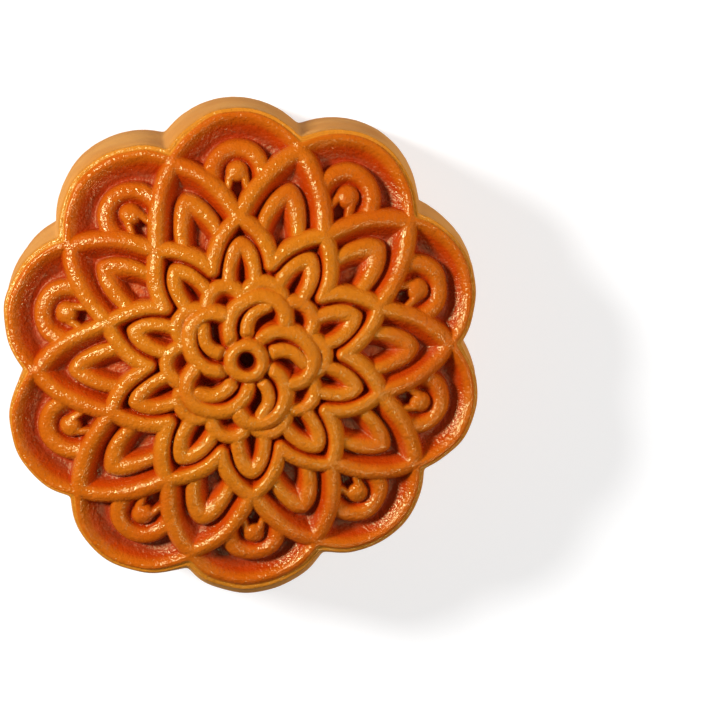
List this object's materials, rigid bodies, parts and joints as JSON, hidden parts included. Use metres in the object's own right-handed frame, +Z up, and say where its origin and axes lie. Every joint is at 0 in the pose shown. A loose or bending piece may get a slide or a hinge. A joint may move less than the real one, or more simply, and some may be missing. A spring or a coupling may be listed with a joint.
{
  "type": "mooncake",
  "caption": "Round baked mooncake with a scalloped edge, a plain side wall, a flat base and a domed golden-brown top pressed with a flower ornament.",
  "frame": {"origin": "centre of the cake's bounding box at the flat base it rests on", "axes": "+Z up through the cake, from the base to the pressed top; +Y towards the lobe at the far side of the ornament, +X to its right when seen from above"},
  "size_m": [0.0766, 0.0806, 0.0354],
  "materials": {
    "baked_crust": "satin"
  },
  "bodies": {
    "root": {"mooncake": "baked_crust"}
  },
  "joints": []
}
